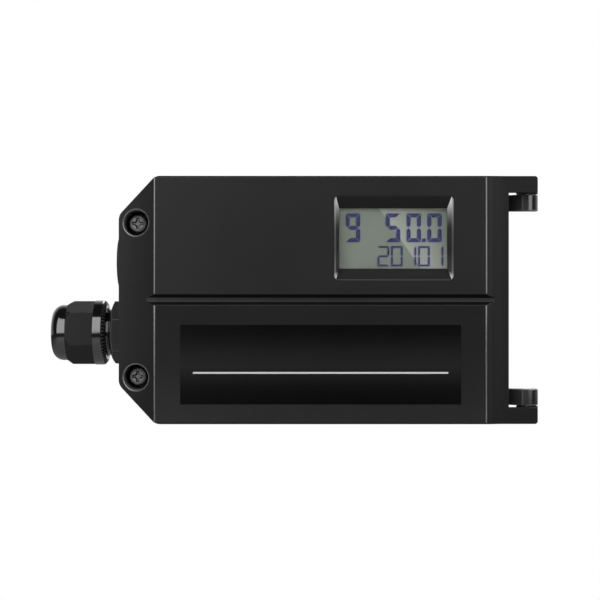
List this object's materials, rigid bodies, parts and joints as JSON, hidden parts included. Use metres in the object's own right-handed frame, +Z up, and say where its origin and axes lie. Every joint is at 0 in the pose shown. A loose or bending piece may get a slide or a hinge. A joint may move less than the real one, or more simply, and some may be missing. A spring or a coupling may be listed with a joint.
{
  "type": "valve positioner",
  "caption": "Electro-pneumatic valve positioner: hinged cover with display window, cable gland, blanking plug, rear feedback shaft, side air ports.",
  "frame": {"origin": "on the feedback shaft's axis, in the plane of the rear mounting face", "axes": "+X along the length to the hinge and port end, +Y to the rear along the feedback shaft, +Z up"},
  "size_m": [0.1948, 0.087, 0.095],
  "materials": {
    "black_plastic": "fine satin moulding",
    "gloss_black": "glossy",
    "rubber": "matte",
    "brass": "turned",
    "steel": "plated",
    "aluminium": "machined",
    "clear": "clear",
    "display_grey": "reflective display",
    "dark_plastic": "matte",
    "grey_plastic": "satin",
    "white_plastic": "satin",
    "yellow_plastic": "satin",
    "blue_plastic": "satin",
    "board_green": "lacquered",
    "terminal_green": "satin"
  },
  "bodies": {
    "housing": {"base_housing": "black_plastic", "mounting_inserts": "brass", "screw_inserts": "brass", "hinge_pins": "steel", "gland_washer": "rubber", "gland_body": "black_plastic", "gland_seal": "rubber", "gland_cage": "white_plastic", "gland_lock_nut": "dark_plastic", "blanking_plug": "black_plastic", "plug_washer": "rubber", "plug_lock_nut": "dark_plastic", "shaft_bush": "brass", "shaft_seal": "rubber", "gear_plate": "aluminium", "gear_plate_screws": "steel", "potentiometer": "blue_plastic", "potentiometer_nut": "steel", "pneumatic_block": "aluminium", "port_gasket": "rubber", "block_screws": "steel", "pilot_valve": "dark_plastic", "exhaust_silencer": "brass", "main_board": "board_green", "board_screws": "steel", "board_components": "dark_plastic", "terminal_block": "terminal_green", "terminal_screws": "steel", "key_switches": "dark_plastic", "electronics_cover": "grey_plastic", "display_module": "dark_plastic", "display_glass": "display_grey"},
    "cover": {"front_cover": "black_plastic", "cover_gasket": "rubber", "window_frame": "gloss_black", "display_window": "clear", "front_label": "gloss_black"},
    "upper_seal": {"upper_screw_seal": "rubber"},
    "upper_screw": {"upper_cover_screw": "steel"},
    "lower_seal": {"lower_screw_seal": "rubber"},
    "lower_screw": {"lower_cover_screw": "steel"},
    "gland_ring": {"gland_slip_ring": "white_plastic"},
    "gland_nut": {"gland_dome_nut": "black_plastic"},
    "shaft": {"feedback_shaft": "steel", "shaft_gear": "white_plastic", "adjusting_wheel": "yellow_plastic", "retaining_ring": "steel"},
    "pot_rotor": {"potentiometer_rotor": "steel", "pinion": "white_plastic"},
    "hand_key": {"hand_key": "white_plastic"},
    "up_key": {"up_key": "white_plastic"},
    "down_key": {"down_key": "white_plastic"},
    "upper_throttle": {"upper_throttle": "brass"},
    "lower_throttle": {"lower_throttle": "brass"}
  },
  "joints": [
    {"name": "cover_hinge", "type": "hinge", "parent": "housing", "child": "cover", "pos_m": [0.0835, -0.06, 0], "axis": [0, 0, 1], "range_deg": [0, 120]},
    {"name": "upper_screw_travel", "type": "slide", "parent": "cover", "child": "upper_seal", "axis": [0, 1, 0], "range_m": [0, 0.0059]},
    {"name": "upper_screw_turn", "type": "hinge", "parent": "upper_seal", "child": "upper_screw", "pos_m": [-0.068, -0.06, 0.0297], "axis": [0, 1, 0], "range_deg": [0, 3035]},
    {"name": "lower_screw_travel", "type": "slide", "parent": "cover", "child": "lower_seal", "axis": [0, 1, 0], "range_m": [0, 0.0059]},
    {"name": "lower_screw_turn", "type": "hinge", "parent": "lower_seal", "child": "lower_screw", "pos_m": [-0.068, -0.06, -0.0297], "axis": [0, 1, 0], "range_deg": [0, 3035]},
    {"name": "gland_nut_travel", "type": "slide", "parent": "housing", "child": "gland_ring", "axis": [1, 0, 0], "range_m": [-0.0045, 0.0015]},
    {"name": "gland_nut_turn", "type": "hinge", "parent": "gland_ring", "child": "gland_nut", "pos_m": [-0.09, -0.024, -0.01345], "axis": [1, 0, 0], "range_deg": [-1079, 359]},
    {"name": "shaft_turn", "type": "hinge", "parent": "housing", "child": "shaft", "pos_m": [0, 0, 0], "axis": [0, 1, 0], "range_deg": [-50, 50]},
    {"name": "potentiometer_turn", "type": "hinge", "parent": "housing", "child": "pot_rotor", "pos_m": [-0.0271, -0.02, 0], "axis": [0, 1, 0], "range_deg": [-150, 150]},
    {"name": "hand_key_press", "type": "slide", "parent": "housing", "child": "hand_key", "axis": [0, 1, 0], "range_m": [0, 0.0006], "stiffness_N_per_m": 800},
    {"name": "up_key_press", "type": "slide", "parent": "housing", "child": "up_key", "axis": [0, 1, 0], "range_m": [0, 0.0006], "stiffness_N_per_m": 800},
    {"name": "down_key_press", "type": "slide", "parent": "housing", "child": "down_key", "axis": [0, 1, 0], "range_m": [0, 0.0006], "stiffness_N_per_m": 800},
    {"name": "upper_throttle_turn", "type": "hinge", "parent": "housing", "child": "upper_throttle", "pos_m": [0.0648, -0.034, 0.0275], "axis": [0, 1, 0], "range_deg": [0, 720]},
    {"name": "lower_throttle_turn", "type": "hinge", "parent": "housing", "child": "lower_throttle", "pos_m": [0.0648, -0.034, -0.0275], "axis": [0, 1, 0], "range_deg": [0, 720]}
  ],
  "couplings": [
    {"joint": "upper_screw_turn", "follows": "upper_screw_travel", "rad_per_m": 8976},
    {"joint": "lower_screw_turn", "follows": "lower_screw_travel", "rad_per_m": 8976},
    {"joint": "gland_nut_travel", "follows": "gland_nut_turn", "m_per_rad": 0.00023873},
    {"joint": "potentiometer_turn", "follows": "shaft_turn", "ratio": -3}
  ]
}
